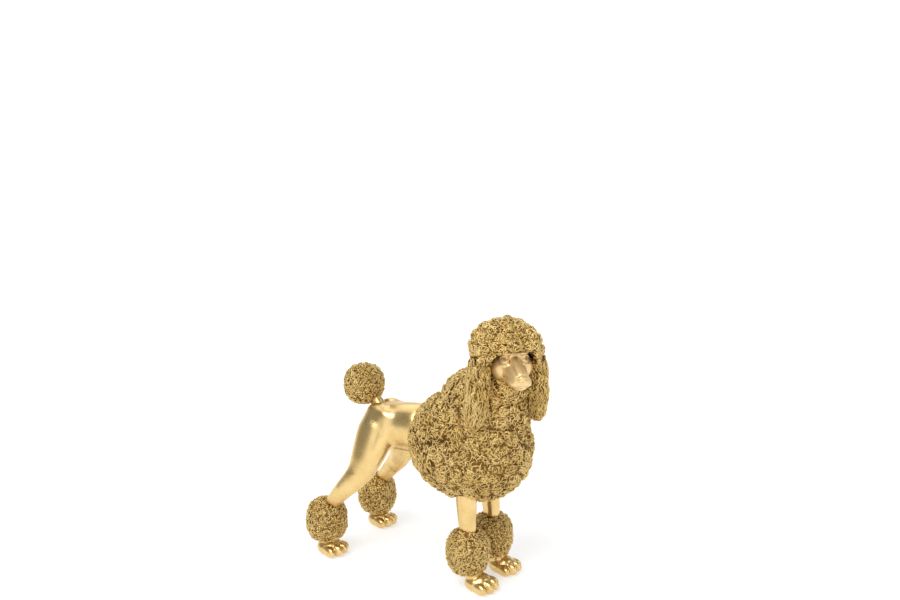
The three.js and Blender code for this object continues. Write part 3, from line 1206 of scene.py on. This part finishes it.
    def _strand(self, place: Vector, normal: Vector) -> Strand:
        """Lays one strand on the ground.

        Args:
            place: Its root.
            normal: The ground's normal there.

        Returns:
            The strand.
        """
        style = self.style
        rng = self.rng
        swell, clump = self._swell(place)
        length = rng.uniform(*style.length) * MM
        turn = rng.uniform(*style.turn)
        turn *= self.spin[clump] if rng.random() < style.agree else -self.spin[clump]
        heading = self.heading[clump] + rng.normal(0.0, style.stray)
        if style.curl is not Curl.WAVE:
            heading -= 0.5 * turn
        phase = rng.uniform(0.0, 2 * math.pi)
        loft = style.loft * rng.uniform(0.25, 1.0) * MM
        thick = rng.uniform(*style.unevenness)
        tone = rng.uniform(-style.tone_spread, style.tone_spread)
        steps = 7 if style.curl is not Curl.WAVE else max(9, int(length / (style.sway_step * MM)))
        run = length / steps
        spot, under = place, normal
        made = Strand()
        for step in range(steps + 1):
            t = step / steps
            bow = math.sin(math.pi * (0.06 + 0.88 * t)) ** 0.7
            lift = loft * bow - (1.0 - bow) * 0.9 * style.thick * MM
            # Depth value is lower in the creases and near the ground, and higher on crests and
            # arched strands: brown patina and painted shade in the deep.
            value = 0.26 + 0.42 * swell + 0.28 * bow * loft / (style.loft * MM) + tone
            width = thick * (style.tip + (1.0 - style.tip) * bow)
            made.add(self.clear(spot + under * lift), width, value)
            angle = heading + self._bend(t, turn, phase, length)
            down, side = self._level(under)
            ahead = spot + (down * math.cos(angle) + side * math.sin(angle)) * run
            spot, under, _, _ = self.tree.find_nearest(ahead)
        return made

    def _bend(self, t: float, turn: float, phase: float, length: float) -> float:
        """How far a strand has turned, from its root at 0 to its tip at 1."""
        if self.style.curl is Curl.HOOK:
            return turn * t**1.6
        if self.style.curl is Curl.RING:
            return turn * t
        return abs(turn) * math.sin(phase + 2 * math.pi * t * length / (self.style.pitch * MM))

    def _level(self, normal: Vector) -> tuple[Vector, Vector]:
        """Two directions in the ground: downhill, and level to the side."""
        down = Vector((0, 0, -1)) + normal * normal.z
        if down.length < 0.08:
            down = normal.cross(Vector((1, 0, 0)))
        down.normalize()
        return down, normal.cross(down).normalized()

    def _weave(self, strands: Sequence[Strand], name: str) -> Piece:
        """Turns strand lines into round strands with closed ends.

        Args:
            strands: The lines.
            name: The new piece's name.

        Returns:
            The piece.
        """
        curve = bpy.data.curves.new(name, "CURVE")
        curve.dimensions = "3D"
        curve.bevel_depth = self.style.thick * MM
        curve.bevel_resolution = self.style.facets
        depth = []
        for strand in strands:
            spline = curve.splines.new("POLY")
            spline.points.add(len(strand.places) - 1)
            spline.points.foreach_set("co", [c for place in strand.places for c in (*place, 1.0)])
            spline.points.foreach_set("radius", strand.thick)
            depth.extend(strand.depth)
        mesh = baked(placed(name, curve), name)
        bpy.data.curves.remove(curve)
        for layer in list(mesh.uv_layers):
            mesh.uv_layers.remove(layer)
        set_depth(mesh, np.repeat(np.array(depth), len(mesh.vertices) // len(depth)))
        with editing(mesh) as closed:
            open_ends = [edge for edge in closed.edges if edge.is_boundary]
            bmesh.ops.holes_fill(closed, edges=open_ends, sides=0)
            bmesh.ops.recalc_face_normals(closed, faces=closed.faces)
        return show(mesh, self._nodes(), self.finish)


@dataclass
class Topknot(Coat):
    """The coat of the skull, which leaves the face free and has a crease over the brow."""

    head: HeadCasting | None = None
    window: Link = ((0.0, -38.0, -9.0), (31.0, 41.0, 24.0))
    crease: tuple[Triple, ...] = (
        (-24.0, -18.0, 23.0),
        (-16.8, -22.0, 25.5),
        (-5.0, -25.0, 27.6),
        (14.0, -24.0, 23.0),
    )
    crease_depth: float = 5.5
    crease_width: float = 3.0

    def clear(self, place: Vector) -> Vector:
        """Keeps the coat out of the face."""
        own = self.head.place.inverted() @ place / MM
        middle, halves = (np.array(part) for part in self.window)
        offset = (np.array(own) - middle) / halves
        reach = float(np.linalg.norm(offset))
        if reach < 1.0:
            own = Vector(middle + offset / max(reach, 1e-6) * halves)
        return self.head.place @ (own * MM)

    def mould(self, place: Vector) -> Vector:
        """Sinks the crease over the brow."""
        own = self.head.place.inverted() @ place / MM
        gap = float(distance_to_line(np.array([own[:]]), np.array(self.crease))[0])
        inward = Vector((0.0, 4.0, 9.0)) - own
        dent = math.exp(-((gap / self.crease_width) ** 2))
        own += inward.normalized() * self.crease_depth * dent
        return self.head.place @ (own * MM)


@dataclass
class Forelock(Coat):
    """The round lock of curls that stands out over the brow."""

    head: HeadCasting | None = None
    middle: Triple = (-2.2, -27.5, 18.5)
    halves: Triple = (8.6, 6.0, 6.0)

    def shape(self) -> Shape:
        """A small ellipsoid in the head's frame."""
        shape = bmesh.new()
        add_ball(shape, self.middle, self.halves)
        bmesh.ops.transform(shape, matrix=self.head.place, verts=shape.verts)
        return shape


@dataclass
class EarFeathering(Coat):
    """The long hair of an ear: separate waved locks that hang round the leather."""

    locks: int = 12
    lock_radius: float = 2.9
    sway: float = 0.22  # how far a lock swings round the ear, in radians
    sway_pitch: float = 24 * MM  # length of one swing
    drawn_in: float = 1.8  # how far the leather shrinks under the locks
    sunk: float = 1.2  # how far a lock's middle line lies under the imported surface
    steps: int = 14  # stretches along a lock

    def shape(self) -> Shape:
        """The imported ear, drawn in, with the locks hung round it."""
        shape = solid_copy([self.node])
        tree = BVHTree.FromBMesh(shape)
        points = np.array([vert.co[:] for vert in shape.verts])
        low, high = points[:, 2].min(), points[:, 2].max()
        for vert in shape.verts:
            vert.co -= vert.normal * self.drawn_in * MM
        for number in range(self.locks):
            angle = 2 * math.pi * (number + self.rng.uniform(-0.2, 0.2)) / self.locks
            phase = self.rng.uniform(0.0, 6.28)
            end = self.rng.uniform(0.0, 0.22)
            width = self.rng.uniform(0.8, 1.15)
            links = []
            for step in range(self.steps + 1):
                t = step / self.steps
                height = high + (low - high) * (0.06 + (0.93 - end) * t)
                near = points[np.abs(points[:, 2] - height) < 4 * MM]
                centre = Vector((*((near.min(axis=0) + near.max(axis=0)) / 2)[:2], height))
                swing = phase + 2 * math.pi * (high - height) / self.sway_pitch
                turn = angle + self.sway * math.sin(swing)
                ray = Vector((math.cos(turn), math.sin(turn), 0.0))
                spot, _, _, _ = tree.ray_cast(centre, ray)
                spot = centre if spot is None else spot - ray * self.sunk * MM
                radius = self.lock_radius * width * (0.75 + 0.35 * math.sin(math.pi * t))
                radius *= 1.0 - 0.35 * t**3
                links.append((tuple(spot / MM), (radius, radius, radius * 1.25)))
            add_chain(shape, links, 2)
        return shape


@dataclass
class NeckCoat(Coat):
    """The mane with the coat of the neck and throat."""

    head: HeadCasting | None = None
    throat: Link = ((0.0, 3.0, -27.0), (24.0, 24.0, 18.0))

    def shape(self) -> Shape:
        """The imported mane, closed at the throat."""
        shape = solid_copy([self.node])
        packed = set(shape.verts)
        add_ball(shape, *self.throat)
        added = [vert for vert in shape.verts if vert not in packed]
        bmesh.ops.transform(shape, matrix=self.head.place, verts=added)
        return shape


@dataclass
class Pompom(Coat):
    """A clipped ball of coat, squarer than a sphere."""

    square: float = 0.10  # how far the shoulders stand out over a ball's
    raised: float = 0.0  # how far the top is drawn up, in metres

    def shape(self) -> Shape:
        """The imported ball, with fuller shoulders, a higher top and a filled bore."""
        shape = solid_copy([self.node])
        low, high = corners(self.node)
        middle = (low + high) / 2
        for vert in shape.verts:
            offset = vert.co - middle
            tilt = math.atan2(offset.z, math.hypot(offset.x, offset.y))
            offset *= 1.0 + self.square * math.sin(2 * tilt) ** 2
            share = (offset.z + middle.z - low.z) / (high.z - low.z)
            vert.co = middle + offset + Vector((0.0, 0.0, self.raised * max(0.0, share)))
        half = (high - low) / 2 / MM
        rise = self.raised / MM / 2
        heart = middle / MM + Vector((0.0, 0.0, rise))
        add_ball(shape, tuple(heart), (half.x * 0.93, half.y * 0.93, (half.z + rise) * 0.95))
        return shape


# The studio


def direction(azimuth: float, elevation: float) -> Vector:
    """The direction at an azimuth from +X and an elevation, both in degrees."""
    a, e = math.radians(azimuth), math.radians(elevation)
    return Vector((math.cos(a) * math.cos(e), math.sin(a) * math.cos(e), math.sin(e)))


@dataclass(frozen=True)
class Lamp:
    """A wide soft light far off, which lights the whole floor evenly."""

    name: str
    azimuth: float  # in degrees from +X
    elevation: float  # in degrees
    width: float  # how wide it looks from the figurine, in degrees
    power: float

    def hang(self) -> None:
        """Hangs the light."""
        lamp = bpy.data.lights.new(self.name, "SUN")
        lamp.angle = math.radians(self.width)
        lamp.energy = self.power
        aim = direction(self.azimuth, self.elevation)
        placed(self.name, lamp).rotation_euler = aim.to_track_quat("Z", "Y").to_euler()


@dataclass
class Studio:
    """A pale floor, soft lights and the camera."""

    floor_size: float = 14.0
    eye: Triple = (-0.7064, -0.4922, 0.4324)
    heading: float = -56.44  # the camera's azimuth, in degrees
    dip: float = 10.29  # how far it looks down, in degrees
    lens: float = 35.44
    ceiling: float = 0.6  # brightness of the ceiling beside the walls'
    wings: float = 0.32  # brightness of the walls to the left and right
    front: float = 1.35  # brightness of the wall behind the camera
    doorway: Span = (34.0, 80.0)  # azimuth and elevation of the dark doorway, in degrees
    doorway_reach: Span = (13.0, 26.0)  # where its full dark ends, and where its edge ends
    doorway_level: float = 0.05
    ceiling_edges: Span = (0.20, 0.55)  # sines of the heights where the ceiling starts and is full
    wing_edges: Span = (0.30, 0.78)  # where a wing is full, and where it ends
    front_edges: Span = (0.6, 0.95)  # where the wall behind the camera starts and is full
    world_strength: float = 1.02
    paper: float = 0.6  # the floor's brightness under light
    paper_glow: float = 0.52  # and of itself
    lamps: tuple[Lamp, ...] = (
        Lamp("key_softbox", 172.0, 56.0, 40.0, 1.75),
        Lamp("side_softbox", 290.0, 38.0, 36.0, 0.5),
        Lamp("rear_softbox", 60.0, 60.0, 60.0, 0.8),
    )

    def _floor(self) -> None:
        """Lays the floor, a sheet of paper lit from below as well as from above."""
        shape = bmesh.new()
        bmesh.ops.create_grid(shape, x_segments=1, y_segments=1, size=self.floor_size / 2)
        mesh = bpy.data.meshes.new("studio_floor")
        shape.to_mesh(mesh)
        shape.free()
        floor = placed("studio_floor", mesh)
        made, _, shader = new_material("studio_paper")
        tune(shader, Base_Color=Tone(self.paper, self.paper, self.paper).rgba())
        tune(shader, Emission_Color=Tone(1.0, 1.0, 1.0).rgba(), Emission_Strength=self.paper_glow)
        tune(shader, Roughness=1.0, Specular_IOR_Level=0.0)
        mesh.materials.append(made)

    def _share(self, tree: Tree, where: Socket, way: Vector) -> Socket:
        """Adds a measure of how far a direction points a certain way, from -1 to 1."""
        product = put(tree, "VectorMath", operation="DOT_PRODUCT")
        product.inputs[1].default_value = way
        tree.links.new(where, product.inputs[0])
        return product.outputs["Value"]

    def _times(self, tree: Tree, first: Socket, second: Socket) -> Socket:
        """Adds a product of two values."""
        product = put(tree, "Math", operation="MULTIPLY")
        tree.links.new(first, product.inputs[0])
        tree.links.new(second, product.inputs[1])
        return product.outputs[0]

    def _world(self) -> None:
        """Makes the white walls, grey wings, grey ceiling and one dark doorway high up."""
        world = bpy.data.worlds.new("studio_walls")
        world.use_nodes = True
        tree = world.node_tree
        back = tree.nodes["Background"]
        where = put(tree, "TexCoord").outputs["Generated"]
        split = put(tree, "SeparateXYZ")
        tree.links.new(where, split.inputs[0])
        step = functools.partial(mapped, tree, kind="SMOOTHSTEP")
        ceiling = step(split.outputs["Z"], self.ceiling_edges, (1.0, self.ceiling))

        toward = self._share(tree, where, direction(*self.doorway))
        edge = tuple(math.cos(math.radians(angle)) for angle in reversed(self.doorway_reach))
        dark = step(toward, edge, (1.0, self.doorway_level))

        along = self._share(tree, where, -direction(self.doorway[0], 0.0))
        size = put(tree, "Math", operation="ABSOLUTE")
        tree.links.new(along, size.inputs[0])
        wings = step(size.outputs[0], self.wing_edges, (self.wings, 1.0))
        front = step(along, self.front_edges, (1.0, self.front))

        above, around = self._times(tree, ceiling, dark), self._times(tree, wings, front)
        level = self._times(tree, above, around)
        tree.links.new(level, back.inputs["Color"])
        tune(back, Strength=self.world_strength)
        bpy.context.scene.world = world

    def build(self) -> None:
        """Sets up the floor, the lights and the camera."""
        self._floor()
        self._world()
        for lamp in self.lamps:
            lamp.hang()
        camera = bpy.data.cameras.new("studio_camera")
        camera.lens = self.lens
        camera.sensor_width = 36.0
        camera.clip_start = 0.01
        holder = placed("studio_camera", camera)
        holder.location = self.eye
        holder.rotation_euler = (math.radians(90.0 - self.dip), 0.0, math.radians(self.heading))
        bpy.context.scene.camera = holder
        bpy.context.scene.view_settings.view_transform = "Standard"


# The figurine


MANE = CoatStyle(
    curl=Curl.HOOK, clump=9.0, rise=3.2, gap=1.6, thick=0.54, length=(5.0, 9.5), turn=(1.2, 4.4),
    stray=0.55, loft=1.5,
)
TOPKNOT = CoatStyle(
    curl=Curl.HOOK, clump=9.0, rise=5.5, gap=1.6, thick=0.6, length=(5.5, 10.0), turn=(1.2, 4.0),
    stray=0.5, loft=1.4,
)
EAR = CoatStyle(
    curl=Curl.WAVE, clump=7.0, rise=1.6, gap=2.2, thick=0.55, length=(8.0, 20.0), turn=(0.4, 1.1),
    stray=0.25, loft=1.1, spread=0.2, stretch=2.0, pitch=7.0, sink=0.6,
)
CUFF = CoatStyle(
    curl=Curl.RING, clump=5.0, rise=1.4, gap=1.5, thick=0.48, length=(4.0, 7.0), turn=(2.0, 5.0),
    stray=0.9, loft=1.3,
)


@dataclass
class Figurine:
    """The whole poodle."""

    smooth: Material = field(init=False)
    curled: Material = field(init=False)
    face: Material = field(init=False)
    head: HeadCasting = field(init=False)

    def __post_init__(self) -> None:
        """Mixes the lacquers."""
        self.smooth = SMOOTH_GOLD.material()
        self.curled = CURLED_GOLD.material()
        self.face = LIGHTENED_FACE_GOLD.material()

    def castings(self) -> None:
        """Builds the smooth castings."""
        LoinCasting(self.smooth).build()
        TailCasting(self.smooth).build()
        self.head = HeadCasting(self.face)
        self.head.build()
        for side in ("right", "left"):
            ForelegCasting(side, self.smooth).build()
            for end in ("front", "hind"):
                PawCasting(side, end, self.smooth).build()

    def coats(self) -> None:
        """Builds the curled coats."""
        gold, head = self.curled, self.head
        core = box_middle("mane")
        NeckCoat("mane", "mane", MANE, gold, 11, 1.6 * MM, core=core, head=head).build()
        core = box_middle("topknot")
        Topknot("topknot", "topknot", TOPKNOT, gold, 12, core=core, head=head).build()
        Forelock("forelock", "topknot", CUFF, gold, 13, 0.8 * MM, head=head).build()
        for index, side in enumerate(("right", "left")):
            EarFeathering(f"{side}_ear", f"{side}_ear", EAR, gold, 20 + index, 0.9 * MM).build()
            for number, end in enumerate(("front", "hind")):
                node = f"{side}_{end}_cuff"
                seed = 30 + 2 * index + number
                raised = 3.5 * MM if end == "front" else 4.5 * MM
                Pompom(node, node, CUFF, gold, seed, core=box_middle(node), raised=raised).build()
        node = "tail_pompom"
        Pompom(node, node, CUFF, gold, 40, core=box_middle(node), square=0.05).build()

    def fittings(self) -> None:
        """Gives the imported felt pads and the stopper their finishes."""
        felt = Felt().material()
        rubber = MouldedRubber().material()
        for name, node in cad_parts.items():
            if name.endswith("foot_pad") or name == "vent_stopper":
                node.data.materials.clear()
                node.data.materials.append(rubber if name == "vent_stopper" else felt)


def main() -> None:
    """Builds the figurine in its studio."""
    logging.basicConfig(level=logging.INFO, format="%(name)s: %(message)s")
    Studio().build()
    poodle = Figurine()
    poodle.castings()
    poodle.coats()
    poodle.fittings()


if __name__ == "__main__":
    main()
